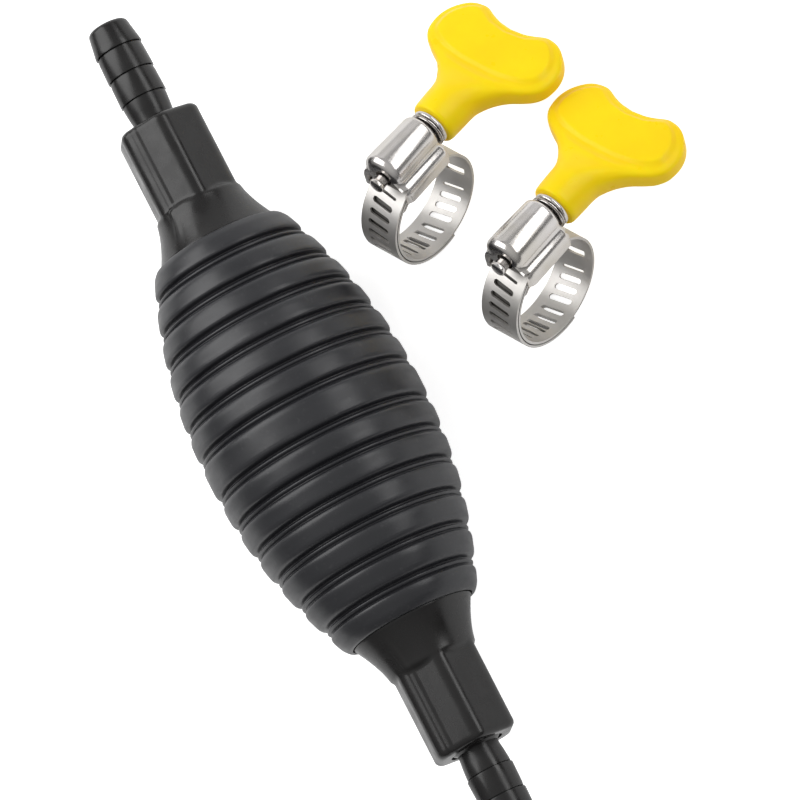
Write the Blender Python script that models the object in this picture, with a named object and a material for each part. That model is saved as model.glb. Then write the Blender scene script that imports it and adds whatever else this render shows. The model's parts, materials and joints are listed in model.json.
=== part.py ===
"""Siphon primer pump with two loose hose clamps.

A ribbed rubber bulb lies along +Y with a hose barb at each end.  A check valve
sits in each end cap, so squeezing the bulb moves water from the inlet (-Y) to
the outlet (+Y).  Two worm-drive hose clamps with thumb keys lie beside it on
the +X side.  Everything rests on z = 0.
"""
import math

import bmesh
import bpy
from mathutils import Euler, Vector

MM = 0.001

# ---- pump: u is the distance from the middle of the bulb along the axis ----
BULB_RADIUS = 21.9 * MM
BULB_TAPER = 6.8 * MM
BULB_TAPER_AT = 36.0 * MM
BULB_TAPER_POWER = 2.1
RIBS_PER_SIDE = 6
CENTRE_RIB_WIDTH = 7.9 * MM
RIB_PITCH = 6.15 * MM
GROOVE_DEPTH = 1.3 * MM
GROOVE_WIDTH = 1.9 * MM
BULB_WALL = 2.4 * MM
MOUTH_RADIUS = 12.3 * MM
MOUTH_LENGTH = 5.8 * MM
CHAMBER_RADIUS = BULB_RADIUS - GROOVE_DEPTH - BULB_WALL

SPIGOT_RADIUS = 12.0 * MM
SPIGOT_LEAD = 0.8 * MM
RIDGE_RADIUS = 13.4 * MM
CAP_START = 28.3 * MM
VALVE_POCKET = 18.0 * MM
FLARE_START = 40.0 * MM
FLARE_LENGTH = 8.6 * MM
FLARE_END_RADIUS = 8.7 * MM
COLLAR_LENGTH = 17.4 * MM
COLLAR_ACROSS_FLATS = 15.7 * MM
COLLAR_CORNER_RADIUS = 9.05 * MM
COLLAR_EDGE = 1.1 * MM
CARTRIDGE_BORE = 7.5 * MM
PORT_RADIUS = 3.6 * MM
SOCKET_RADIUS = 5.2 * MM
SOCKET_DEPTH = 12.7 * MM

BARB_RADIUS = 4.7 * MM
BARB_TIP_RADIUS = 3.5 * MM
BARB_BORE = 2.4 * MM
BARB_LENGTH = 21.0 * MM
BARB_PITCH = 5.2 * MM
FIRST_CREST = 5.5 * MM
BARB_COUNT = 4

GAP = 0.3 * MM
SEAT_LENGTH = 2.5 * MM
SEAT_HOLE = 3.4 * MM
POPPET_RADIUS = 4.7 * MM
POPPET_THICKNESS = 1.5 * MM
STEM_RADIUS = 1.1 * MM
STEM_LENGTH = 9.8 * MM
CAGE_START = 12.0 * MM
CAGE_LENGTH = 2.4 * MM
CAGE_PORT_RADIUS = 1.4 * MM
CAGE_PORT_CIRCLE = 4.35 * MM
VALVE_SPRING_RADIUS = 2.9 * MM
VALVE_SPRING_WIRE = 0.3 * MM
VALVE_SPRING_TURNS = 4
SEAL_RADIUS = 4.2 * MM
SEAL_SECTION = 0.7 * MM

# ---- hose clamp: x along the screw to the key, y across the band, z from the
# middle of the ring to the screw ----
SLOTS_ROUND = 31
BAND_WIDTH = 8.3 * MM
BAND_THICKNESS = 0.5 * MM
TAIL_OUTER_RADIUS = 11.65 * MM
LOOP_OUTER_RADIUS = 10.95 * MM
SADDLE_OUTER_RADIUS = 10.2 * MM
SADDLE_THICKNESS = 0.45 * MM
SLOT_WIDTH = 1.15 * MM
SLOT_LENGTH = 4.8 * MM
WINDOW_WIDTH = 1.7 * MM
WINDOW_LENGTH = 4.0 * MM
LOOP_START = math.radians(75)
LOOP_CELLS = 27
TAIL_CELLS = 19
SADDLE_FROM = math.radians(50)
SADDLE_TO = math.radians(140)

HOUSING_LENGTH = 12.0 * MM
HOUSING_WALL = 0.65 * MM
DOME_RADIUS = 3.95 * MM
DOME_OFFSET = 0.55 * MM
SHOULDER_HALF_WIDTH = 5.15 * MM
SKIRT_BOTTOM = 9.3 * MM
SHOULDER_TOP = 12.5 * MM
WORM_CREST = 2.5 * MM
WORM_ROOT = 1.8 * MM
WORM_DIP = 0.4 * MM
WORM_LENGTH = 9.6 * MM
STUB_RADIUS = 1.4 * MM
STUB_REACH = 8.8 * MM
SHANK_RADIUS = 1.7 * MM
WASHER_RADIUS = 3.75 * MM
WASHER_THICKNESS = 0.45 * MM
DRIVE_FLANGE_THICKNESS = 0.7 * MM
DRIVE_LENGTH = 8.0 * MM
DRIVE_HALF_WIDTH = 1.5 * MM

KEY_STEM_RADIUS = 4.6 * MM
KEY_THICKNESS = 5.0 * MM
KEY_DISH_DEPTH = 0.8 * MM
KEY_RIM = 2.0 * MM
KEY_LENGTH = 26.3 * MM
KEY_NOTCH_DEPTH = 2.0 * MM
KEY_HALF_SPAN = 14.4 * MM

# ---- how the pieces lie on the ground ----
BULB_X = -31.67 * MM
CLAMP_SLOPE = math.radians(34.82)
CLAMP_ROLL = math.radians(-11.1)
CLAMP_YAW = math.radians(28.8)
CLAMP_CENTRE_HEIGHT = 11.47 * MM
CLAMP_PLACES = {"clamp_a": (3.93 * MM, 29.74 * MM), "clamp_b": (17.32 * MM, 4.55 * MM)}

SLOT_ANGLE = math.tau / SLOTS_ROUND
TAIL_TIP = math.radians(90) - 2.5 * SLOT_ANGLE
THREAD_PITCH = SLOT_ANGLE * TAIL_OUTER_RADIUS
SCREW_HEIGHT = TAIL_OUTER_RADIUS + WORM_CREST - WORM_DIP


# ---------------------------------------------------------------- materials
def material(name, colour, roughness, metallic=0.0):
    made = bpy.data.materials.new(name)
    made.use_nodes = True
    made.diffuse_color = (*colour, 1.0)
    shader = made.node_tree.nodes["Principled BSDF"]
    shader.inputs["Base Color"].default_value = (*colour, 1.0)
    shader.inputs["Roughness"].default_value = roughness
    shader.inputs["Metallic"].default_value = metallic
    return made


# ------------------------------------------------------------ mesh helpers
def add_object(name, mesh, finish, parent=None, rotation=(0, 0, 0), location=(0, 0, 0)):
    """Link a mesh as a named object; round faces are shaded smooth."""
    mesh.materials.append(finish)
    mesh.shade_smooth()
    mesh.set_sharp_from_angle(angle=math.radians(35))
    placed = bpy.data.objects.new(name, mesh)
    bpy.context.scene.collection.objects.link(placed)
    placed.rotation_euler = rotation
    placed.location = location
    placed.parent = parent
    return placed


def add_empty(name, location, rotation=(0, 0, 0), parent=None):
    empty = bpy.data.objects.new(name, None)
    bpy.context.scene.collection.objects.link(empty)
    empty.location = location
    empty.rotation_euler = rotation
    empty.parent = parent
    return empty


def to_mesh(bm, name):
    bmesh.ops.recalc_face_normals(bm, faces=bm.faces)
    mesh = bpy.data.meshes.new(name)
    bm.to_mesh(mesh)
    bm.free()
    return mesh


def skin(name, rings, closed):
    """Join equal rings of points with quads; cap both ends unless closed."""
    bm = bmesh.new()
    loops = [[bm.verts.new(point) for point in ring] for ring in rings]
    count = len(loops[0])
    pairs = list(zip(loops, loops[1:]))
    if closed:
        pairs.append((loops[-1], loops[0]))
    for lower, upper in pairs:
        for i in range(count):
            j = (i + 1) % count
            bm.faces.new((lower[i], lower[j], upper[j], upper[i]))
    if not closed:
        bm.faces.new(loops[0])
        bm.faces.new(loops[-1])
    return to_mesh(bm, name)


def circle(height, radius, steps):
    """A ring of points round the z axis."""
    angles = [math.tau * i / steps for i in range(steps)]
    return [Vector((radius * math.cos(a), radius * math.sin(a), height)) for a in angles]


def turned(name, profile, steps, closed=True):
    """Turn a profile of (height, radius) points round the z axis."""
    return skin(name, [circle(z, r, steps) for z, r in profile], closed)


def cut(target, mesh, rotation=(0, 0, 0), location=(0, 0, 0)):
    """Subtract a mesh from an object with a hidden cutter under the same parent."""
    cutter = bpy.data.objects.new(target.name + "_cutter", mesh)
    bpy.context.scene.collection.objects.link(cutter)
    cutter.rotation_euler = rotation
    cutter.location = location
    cutter.parent = target.parent
    cutter.hide_render = True
    cutter.display_type = "WIRE"
    modifier = target.modifiers.new("cut", "BOOLEAN")
    modifier.operation = "DIFFERENCE"
    modifier.solver = "EXACT"
    modifier.object = cutter


def block(name, low, high):
    """A box between two corners."""
    (x0, y0, z0), (x1, y1, z1) = low, high
    corners = ((x0, y0), (x1, y0), (x1, y1), (x0, y1))
    return skin(name, [[Vector((x, y, z)) for x, y in corners] for z in (z0, z1)], False)


# ------------------------------------------------------------------- pump
def rib_edges(index):
    """Start and end of a rib; the middle rib spans both sides of u = 0."""
    if index == 0:
        return -CENTRE_RIB_WIDTH / 2, CENTRE_RIB_WIDTH / 2
    start = CENTRE_RIB_WIDTH / 2 + (index - 1) * RIB_PITCH + GROOVE_WIDTH / 2
    return start, start + RIB_PITCH - GROOVE_WIDTH


def barrel_radius(u):
    return BULB_RADIUS - BULB_TAPER * (abs(u) / BULB_TAPER_AT) ** BULB_TAPER_POWER


def bulb_mesh():
    """Barrel of ribs outside; smooth chamber with a narrow mouth at each end inside."""
    half = [(rib_edges(0)[1] - GROOVE_WIDTH / 2, BULB_RADIUS)]
    for index in range(1, RIBS_PER_SIDE + 1):
        start, end = rib_edges(index)
        groove = start - GROOVE_WIDTH / 2
        half.append((groove, barrel_radius(groove) - GROOVE_DEPTH))
        half += [(start, barrel_radius(start)), (end, barrel_radius(end))]
    outer = [(-u, r) for u, r in reversed(half)] + half
    shoulder = end - MOUTH_LENGTH
    inner = [(end, MOUTH_RADIUS), (shoulder, MOUTH_RADIUS), (shoulder - 0.4 * MM, RIDGE_RADIUS + 0.5 * MM)]
    inner += [(0.62 * end, 0.86 * CHAMBER_RADIUS), (0.3 * end, 0.98 * CHAMBER_RADIUS)]
    inner += [(-u, r) for u, r in reversed(inner)]
    return turned("bulb", outer + inner, 28)


def collar_radius(angle, shrink=0.0):
    """Radius of a hexagon with rounded corners."""
    sector = math.radians(60)
    off = (angle + sector / 2) % sector - sector / 2
    flat = (COLLAR_ACROSS_FLATS / 2) / math.cos(sector / 2 - abs(off))
    return min(flat, COLLAR_CORNER_RADIUS) - shrink


def end_cap_mesh():
    """Ridge and spigot inside the bulb mouth, flare, hexagonal collar, stepped bore.

    One flat of the collar faces up."""
    steps = 24
    angles = [math.tau * i / steps for i in range(steps)]
    spigot = [(CAP_START, SPIGOT_RADIUS - SPIGOT_LEAD), (CAP_START + 2.2 * MM, SPIGOT_RADIUS)]
    spigot += [(CAP_START + 2.3 * MM, RIDGE_RADIUS), (CAP_START + 4.6 * MM, RIDGE_RADIUS)]
    spigot += [(CAP_START + 5.1 * MM, SPIGOT_RADIUS)]
    flare = []
    for i in range(5):
        t = i / 4
        radius = FLARE_END_RADIUS + (SPIGOT_RADIUS - FLARE_END_RADIUS) * (1 - t) ** 1.5
        flare.append((FLARE_START + FLARE_LENGTH * t, radius))
    rings = [circle(u, r, steps) for u, r in spigot + flare]
    collar_start = FLARE_START + FLARE_LENGTH
    collar_end = collar_start + COLLAR_LENGTH
    stations = [(collar_start + 0.1 * MM, 0.0), (collar_end - COLLAR_EDGE, 0.0), (collar_end, COLLAR_EDGE)]
    for u, shrink in stations:
        radii = [collar_radius(a, shrink) for a in angles]
        rings.append([Vector((r * math.cos(a), r * math.sin(a), u)) for a, r in zip(angles, radii)])
    socket_floor = collar_end - SOCKET_DEPTH
    bore = [(collar_end, SOCKET_RADIUS), (socket_floor, SOCKET_RADIUS), (socket_floor, PORT_RADIUS)]
    valve_stop = CAP_START + VALVE_POCKET
    bore += [(valve_stop, PORT_RADIUS), (valve_stop, CARTRIDGE_BORE), (CAP_START, CARTRIDGE_BORE)]
    rings += [circle(u, r, steps) for u, r in bore]
    return skin("end_cap", rings, True)


def hose_barb_mesh():
    """Shank in the collar socket, then four shallow barbs to a tapered tip."""
    collar_end = FLARE_START + FLARE_LENGTH + COLLAR_LENGTH
    shank_start = collar_end - SOCKET_DEPTH + 2 * SEAL_SECTION + 2 * GAP
    shank = SOCKET_RADIUS - GAP
    profile = [(shank_start, shank), (collar_end, shank), (collar_end + 0.6 * MM, BARB_RADIUS - 0.35 * MM)]
    for i in range(BARB_COUNT - 1):
        crest = collar_end + FIRST_CREST + BARB_PITCH * i
        profile += [(crest, BARB_RADIUS), (crest + 0.2 * MM, BARB_RADIUS - 0.35 * MM)]
    tip = collar_end + BARB_LENGTH
    profile += [(tip - 0.8 * MM, BARB_TIP_RADIUS + 0.2 * MM), (tip, BARB_TIP_RADIUS - 0.5 * MM)]
    profile += [(tip, BARB_BORE), (shank_start, BARB_BORE)]
    return turned("hose_barb", profile, 16)


def seal_ring_mesh():
    """O-ring between the socket floor and the shank of the barb."""
    floor = FLARE_START + FLARE_LENGTH + COLLAR_LENGTH - SOCKET_DEPTH
    middle = floor + GAP / 2 + SEAL_SECTION + 0.5 * GAP
    profile = []
    for i in range(8):
        a = math.tau * i / 8
        profile.append((middle + SEAL_SECTION * math.sin(a), SEAL_RADIUS + SEAL_SECTION * math.cos(a)))
    return turned("seal_ring", profile, 16)


def valve_seat_mesh():
    outer = CARTRIDGE_BORE - GAP
    profile = [(0, outer), (SEAT_LENGTH, outer), (SEAT_LENGTH, SEAT_HOLE), (0, SEAT_HOLE)]
    return turned("valve_seat", profile, 16)


def poppet_mesh():
    """Flat head that covers the seat's hole, with a guide stem."""
    top = POPPET_THICKNESS
    profile = [(0, POPPET_RADIUS), (top, POPPET_RADIUS), (top, STEM_RADIUS), (top + STEM_LENGTH, STEM_RADIUS)]
    return turned("valve_poppet", profile, 12, closed=False)


def cage_mesh():
    outer = CARTRIDGE_BORE - GAP
    hole = STEM_RADIUS + GAP
    profile = [(0, outer), (CAGE_LENGTH, outer), (CAGE_LENGTH, hole), (0, hole)]
    return turned("valve_cage", profile, 16)


def coil_mesh(length):
    """A wire swept along a helix."""
    steps = 9 * VALVE_SPRING_TURNS
    rings = []
    for i in range(steps + 1):
        angle = math.tau * VALVE_SPRING_TURNS * i / steps
        outward = Vector((math.cos(angle), math.sin(angle), 0))
        middle = outward * VALVE_SPRING_RADIUS + Vector((0, 0, length * i / steps))
        section = []
        for k in range(6):
            turn = math.tau * k / 6
            lift = Vector((0, 0, math.sin(turn)))
            section.append(middle + VALVE_SPRING_WIRE * (math.cos(turn) * outward + lift))
        rings.append(section)
    return skin("valve_spring", rings, False)


def build_valve(end, parent, start, finishes):
    """Seat, poppet, spring and cage in line; water flows along +Y through them."""
    flow = (math.radians(-90), 0, 0)
    head = start + SEAT_LENGTH + GAP
    add_object(end + "_valve_seat", valve_seat_mesh(), finishes["fitting"], parent, flow, (0, start, 0))
    add_object(end + "_valve_poppet", poppet_mesh(), finishes["valve"], parent, flow, (0, head, 0))
    spring_start = head + POPPET_THICKNESS + GAP + VALVE_SPRING_WIRE
    spring_end = start + CAGE_START - GAP - VALVE_SPRING_WIRE
    coil = coil_mesh(spring_end - spring_start)
    add_object(end + "_valve_spring", coil, finishes["steel"], parent, flow, (0, spring_start, 0))
    cage_place = (0, start + CAGE_START, 0)
    cage = add_object(end + "_valve_cage", cage_mesh(), finishes["fitting"], parent, flow, cage_place)
    for i in range(4):
        angle = math.tau * (i + 0.5) / 4
        offset = Vector((math.cos(angle), 0, math.sin(angle))) * CAGE_PORT_CIRCLE
        ends = [(-1 * MM, CAGE_PORT_RADIUS), (CAGE_LENGTH + 1 * MM, CAGE_PORT_RADIUS)]
        port = turned("port", ends, 8, False)
        cut(cage, port, flow, Vector(cage_place) + offset)


def build_pump(finishes):
    pump = add_empty("pump_axis", (BULB_X, 0, BULB_RADIUS))
    along = (math.radians(-90), 0, 0)
    add_object("bulb", bulb_mesh(), finishes["rubber"], pump, along)
    for end, outward in (("inlet", -1), ("outlet", 1)):
        turn = (math.radians(-90 * outward), 0, 0)
        add_object(end + "_end_cap", end_cap_mesh(), finishes["fitting"], pump, turn)
        add_object(end + "_hose_barb", hose_barb_mesh(), finishes["fitting"], pump, turn)
        add_object(end + "_seal_ring", seal_ring_mesh(), finishes["rubber"], pump, turn)
    build_valve("inlet", pump, GAP - CAP_START - VALVE_POCKET, finishes)
    build_valve("outlet", pump, CAP_START + 1.5 * MM, finishes)


# ------------------------------------------------------------------ clamps
def polar(angle, radius, y):
    """A point of the ring; angle 90 degrees is under the screw."""
    return Vector((radius * math.cos(angle), y, radius * math.sin(angle)))


def band_mesh(name, outer_radius, start, direction, holes):
    """A bent strip, one cell for each slot; holes lists each cell's (width, length)."""
    bm = bmesh.new()
    half = BAND_WIDTH / 2
    lean = THREAD_PITCH / (math.tau * WORM_CREST) / outer_radius

    def layer(radius):
        """Corner and hole points of every cell on one face of the strip."""
        edges = [start + direction * SLOT_ANGLE * i for i in range(len(holes) + 1)]
        lines = [[bm.verts.new(polar(a, radius, y)) for y in (-half, half)] for a in edges]
        cells = []
        for i, hole in enumerate(holes):
            if hole is None:
                cells.append(None)
                continue
            width, length = hole
            middle = (edges[i] + edges[i + 1]) / 2
            reach = direction * width / 2 / outer_radius
            corners = ((-reach, -length / 2), (reach, -length / 2), (reach, length / 2), (-reach, length / 2))
            cells.append([bm.verts.new(polar(middle + a - lean * y, radius, y)) for a, y in corners])
        return lines, cells

    top_lines, top_cells = layer(outer_radius)
    low_lines, low_cells = layer(outer_radius - BAND_THICKNESS)
    for lines, cells in ((top_lines, top_cells), (low_lines, low_cells)):
        for (a, d), (b, c), cell in zip(lines, lines[1:], cells):
            if cell is None:
                bm.faces.new((a, b, c, d))
                continue
            outline = (a, b, c, d)
            for i in range(4):
                j = (i + 1) % 4
                bm.faces.new((outline[i], outline[j], cell[j], cell[i]))
    for top, low in zip(top_cells, low_cells):
        if top:
            for i in range(4):
                j = (i + 1) % 4
                bm.faces.new((top[i], top[j], low[j], low[i]))
    for i in range(len(holes)):
        for side in (0, 1):
            edge = (top_lines[i][side], top_lines[i + 1][side], low_lines[i + 1][side], low_lines[i][side])
            bm.faces.new(edge)
    for i in (0, -1):
        bm.faces.new((top_lines[i][0], top_lines[i][1], low_lines[i][1], low_lines[i][0]))
    return to_mesh(bm, name)


def loop_holes():
    """Plain under the housing, then the anchoring window, then slots all the way round."""
    slot = (SLOT_WIDTH, SLOT_LENGTH)
    return [None, None, (WINDOW_WIDTH, WINDOW_LENGTH)] + [slot] * (LOOP_CELLS - 3)


def tail_holes():
    slot = (SLOT_WIDTH, SLOT_LENGTH)
    return [None] + [slot] * (TAIL_CELLS - 1)


def saddle_mesh():
    """Curved plate that carries the band under the housing and reaches past it."""
    steps = 10
    rings = []
    half = BAND_WIDTH / 2
    inner = SADDLE_OUTER_RADIUS - SADDLE_THICKNESS
    for i in range(steps + 1):
        a = SADDLE_FROM + (SADDLE_TO - SADDLE_FROM) * i / steps
        corners = ((SADDLE_OUTER_RADIUS, -half), (SADDLE_OUTER_RADIUS, half), (inner, half), (inner, -half))
        rings.append([polar(a, r, y) for r, y in corners])
    return skin("saddle", rings, False)


def dome_arch(inset, waist):
    """Points of the round dome from its waist on one side, over the top, to the other."""
    radius = DOME_RADIUS - inset
    steps = 14
    angles = [waist + (math.pi - 2 * waist) * i / steps for i in range(steps + 1)]
    return [(DOME_OFFSET + radius * math.cos(a), SCREW_HEIGHT + radius * math.sin(a)) for a in angles]


def housing_outline():
    """Cross-section: straight skirts, flat shoulders, and a round dome over the screw."""
    half = SHOULDER_HALF_WIDTH
    side = [(half, SKIRT_BOTTOM), (half, SHOULDER_TOP - 0.9 * MM), (half - 0.5 * MM, SHOULDER_TOP - 0.2 * MM)]
    return side + dome_arch(0.0, math.radians(-20)) + [(-y, z) for y, z in reversed(side)]


def extruded(name, outline, x0, x1):
    """A (y, z) outline pushed along x."""
    return skin(name, [[Vector((x, y, z)) for y, z in outline] for x in (x0, x1)], False)


def add_housing(name, finish, parent):
    half = HOUSING_LENGTH / 2
    shell = add_object(name, extruded("housing", housing_outline(), -half, half), finish, parent)
    wall = HOUSING_WALL
    hollow = dome_arch(wall, math.radians(-40))
    cut(shell, extruded("hollow", hollow, -half + wall, half - wall))
    inside = SHOULDER_HALF_WIDTH - wall
    cut(shell, block("passage", (-2 * half, -inside, 0), (2 * half, inside, TAIL_OUTER_RADIUS + 0.25 * MM)))
    along = (0, math.radians(90), 0)
    for radius, x in ((STUB_RADIUS + GAP, -half), (SHANK_RADIUS + GAP, half)):
        hole = turned("hole", [(-1 * MM, radius), (1 * MM, radius)], 12, False)
        cut(shell, hole, along, (x, 0, SCREW_HEIGHT))
    return shell


def worm_radius(x, angle):
    """Height field of a right-hand thread whose crests meet the slots of the band."""
    phase = (x / THREAD_PITCH - (angle + math.pi / 2) / math.tau + 0.5) % 1.0 - 0.5
    distance = abs(phase) * THREAD_PITCH
    crest_half, root_half = 0.12 * MM, 0.55 * MM
    if distance <= crest_half:
        return WORM_CREST
    if distance >= root_half:
        return WORM_ROOT
    return WORM_CREST + (WORM_ROOT - WORM_CREST) * (distance - crest_half) / (root_half - crest_half)


def worm_screw_mesh():
    """Stub, threaded worm, shank through the end wall, flange and square drive."""
    sides = 8
    angles = [math.tau * i / sides for i in range(sides)]
    half = HOUSING_LENGTH / 2
    step = THREAD_PITCH / sides
    rows = 2 * round(WORM_LENGTH / 2 / step)
    worm_half = rows / 2 * step
    flange = half + GAP + WASHER_THICKNESS + GAP
    rings = []

    def ring(x, radius):
        rings.append([Vector((x, radius * math.cos(a), radius * math.sin(a))) for a in angles])

    ring(-STUB_REACH, STUB_RADIUS - 0.2 * MM)
    ring(-STUB_REACH + 0.2 * MM, STUB_RADIUS)
    ring(-worm_half - 0.05 * MM, STUB_RADIUS)
    for i in range(rows + 1):
        x = -worm_half + step * i
        radii = [worm_radius(x, a) for a in angles]
        rings.append([Vector((x, r * math.cos(a), r * math.sin(a))) for a, r in zip(angles, radii)])
    ring(worm_half + 0.05 * MM, SHANK_RADIUS)
    ring(flange, SHANK_RADIUS)
    ring(flange, WASHER_RADIUS)
    ring(flange + DRIVE_FLANGE_THICKNESS, WASHER_RADIUS)
    drive = flange + DRIVE_FLANGE_THICKNESS
    for x in (drive + 0.01 * MM, drive + DRIVE_LENGTH):
        square = []
        for a in angles:
            reach = DRIVE_HALF_WIDTH / max(abs(math.cos(a)), abs(math.sin(a)))
            square.append(Vector((x, reach * math.cos(a), reach * math.sin(a))))
        rings.append(square)
    return skin("worm_screw", rings, False)


def washer_mesh():
    start = HOUSING_LENGTH / 2 + GAP
    inner = SHANK_RADIUS + GAP
    end = start + WASHER_THICKNESS
    profile = [(start, WASHER_RADIUS), (end, WASHER_RADIUS), (end, inner), (start, inner)]
    return turned("washer", profile, 16)


def ramp(value, start, end):
    """0 at start, 1 at end, straight between, held outside; start may be above end."""
    return min(1.0, max(0.0, (value - start) / (end - start)))


def key_half_width(t):
    """Half width of the key at a fraction t of its length: stem, then a round lobe."""
    stem_end = 0.3
    widest = 0.74
    if t <= stem_end:
        return KEY_STEM_RADIUS
    if t <= widest:
        s = (t - stem_end) / (widest - stem_end)
        blend = s * s * (3 - 2 * s)
        return KEY_STEM_RADIUS + (KEY_HALF_SPAN - KEY_STEM_RADIUS) * blend
    s = (t - widest) / (1 - widest)
    return KEY_HALF_SPAN * math.sqrt(max(0.0, 1 - 0.62 * s ** 2.6))


def key_mesh():
    """Round stem that flattens into a butterfly plate with a dish in both faces."""
    start = HOUSING_LENGTH / 2 + 3 * GAP + WASHER_THICKNESS + DRIVE_FLANGE_THICKNESS
    rows, sides = 16, 16
    rings = []
    for i in range(rows + 1):
        t = i / rows
        flat = ramp(t, 0.2, 0.55)
        flat = flat * flat * (3 - 2 * flat)
        width = key_half_width(t)
        thick = KEY_STEM_RADIUS + (KEY_THICKNESS / 2 - KEY_STEM_RADIUS) * flat
        dished = ramp(t, 0.52, 0.58) * ramp(t, 0.95, 0.89)
        ring = []
        for k in range(sides):
            a = math.tau * k / sides
            power = 1.0 - 0.55 * flat
            across = math.copysign(abs(math.cos(a)) ** power, math.cos(a)) * width
            up = math.copysign(abs(math.sin(a)) ** power, math.sin(a)) * thick
            if abs(up) > 0.5 * thick:
                hollow = dished * ramp(abs(across), width - KEY_RIM, width - KEY_RIM - 0.6 * MM)
                up -= math.copysign(KEY_DISH_DEPTH, up) * hollow
            notch = 0.0
            if i == rows:
                notch = KEY_NOTCH_DEPTH * max(0.0, 1 - (2 * across / KEY_HALF_SPAN) ** 2)
            ring.append(Vector((start + KEY_LENGTH * t - notch, across, SCREW_HEIGHT + up)))
        rings.append(ring)
    return skin("thumb_key", rings, False)


def add_key(name, finish, parent):
    key = add_object(name, key_mesh(), finish, parent)
    drive = HOUSING_LENGTH / 2 + 2 * GAP + WASHER_THICKNESS + DRIVE_FLANGE_THICKNESS
    reach = DRIVE_HALF_WIDTH + GAP
    low = (drive - 1 * MM, -reach, SCREW_HEIGHT - reach)
    high = (drive + DRIVE_LENGTH + GAP, reach, SCREW_HEIGHT + reach)
    cut(key, block("socket", low, high))
    return key


def build_clamp(name, place, finishes):
    rest = Euler((CLAMP_ROLL, CLAMP_SLOPE, CLAMP_YAW))
    ring = add_empty(name + "_ring", (*place, CLAMP_CENTRE_HEIGHT), rest)
    screw_axis = add_empty(name + "_screw_axis", (0, 0, SCREW_HEIGHT), parent=ring)
    steel = finishes["steel"]
    loop = band_mesh("band_loop", LOOP_OUTER_RADIUS, LOOP_START, -1, loop_holes())
    add_object(name + "_band_loop", loop, steel, ring)
    tail = band_mesh("band_tail", TAIL_OUTER_RADIUS, TAIL_TIP, 1, tail_holes())
    add_object(name + "_band_tail", tail, steel, ring)
    add_object(name + "_saddle", saddle_mesh(), steel, ring)
    add_housing(name + "_housing", steel, ring)
    add_object(name + "_worm_screw", worm_screw_mesh(), steel, screw_axis)
    along = (0, math.radians(90), 0)
    add_object(name + "_washer", washer_mesh(), steel, screw_axis, along)
    add_key(name + "_thumb_key", finishes["key"], ring)


def main():
    for old in list(bpy.data.objects):
        bpy.data.objects.remove(old)
    finishes = {
        "rubber": material("bulb_rubber", (0.035, 0.036, 0.042), 0.45),
        "fitting": material("fitting_plastic", (0.014, 0.013, 0.013), 0.25),
        "valve": material("valve_plastic", (0.6, 0.6, 0.58), 0.4),
        "steel": material("clamp_steel", (0.55, 0.54, 0.52), 0.25, 1.0),
        "key": material("key_plastic", (0.95, 0.68, 0.01), 0.35),
    }
    build_pump(finishes)
    for name, place in CLAMP_PLACES.items():
        build_clamp(name, place, finishes)


main()
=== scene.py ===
"""Looks of the siphon primer pump and its two hose clamps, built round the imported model.

The pump's pieces are made along a local z axis that points out of each end, and the
clamps' pieces in a clamp frame: x along the screw to the key, y across the band, z from
the middle of the ring to the screw.  Lengths are in metres; MM scales millimetres.
"""
import json
import math

import bmesh
import bpy
from mathutils import Matrix, Vector


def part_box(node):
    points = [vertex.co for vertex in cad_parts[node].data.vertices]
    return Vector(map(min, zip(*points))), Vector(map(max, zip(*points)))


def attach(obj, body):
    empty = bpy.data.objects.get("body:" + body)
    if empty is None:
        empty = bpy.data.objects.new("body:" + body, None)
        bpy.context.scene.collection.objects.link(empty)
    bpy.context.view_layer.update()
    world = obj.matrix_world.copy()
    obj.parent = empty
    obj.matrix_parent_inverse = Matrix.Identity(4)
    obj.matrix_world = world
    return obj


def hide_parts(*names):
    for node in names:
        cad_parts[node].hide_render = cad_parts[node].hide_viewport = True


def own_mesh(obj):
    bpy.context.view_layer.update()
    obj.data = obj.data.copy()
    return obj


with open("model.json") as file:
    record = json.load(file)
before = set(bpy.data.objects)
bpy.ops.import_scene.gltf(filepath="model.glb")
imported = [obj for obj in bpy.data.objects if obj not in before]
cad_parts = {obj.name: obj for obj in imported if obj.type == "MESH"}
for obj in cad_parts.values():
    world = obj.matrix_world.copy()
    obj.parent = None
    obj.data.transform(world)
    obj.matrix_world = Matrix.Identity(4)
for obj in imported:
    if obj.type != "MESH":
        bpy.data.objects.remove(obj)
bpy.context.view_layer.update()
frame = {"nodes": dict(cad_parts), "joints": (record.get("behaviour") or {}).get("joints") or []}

MM = 0.001
UPRIGHT = math.radians(90)
JOINTS = {joint["name"]: joint for joint in frame["joints"]}
CLAMPS = ("clamp_a", "clamp_b")
ENDS = {"inlet": -1, "outlet": 1}

# ------------------------------------------------------------------ measures from the frame
BULB_LOW, BULB_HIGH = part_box("bulb")
BULB_RADIUS = (BULB_HIGH.z - BULB_LOW.z) / 2
BULB_HALF = (BULB_HIGH.y - BULB_LOW.y) / 2
PUMP_MIDDLE = (BULB_LOW + BULB_HIGH) / 2
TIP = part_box("outlet_hose_barb")[1].y

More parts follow.
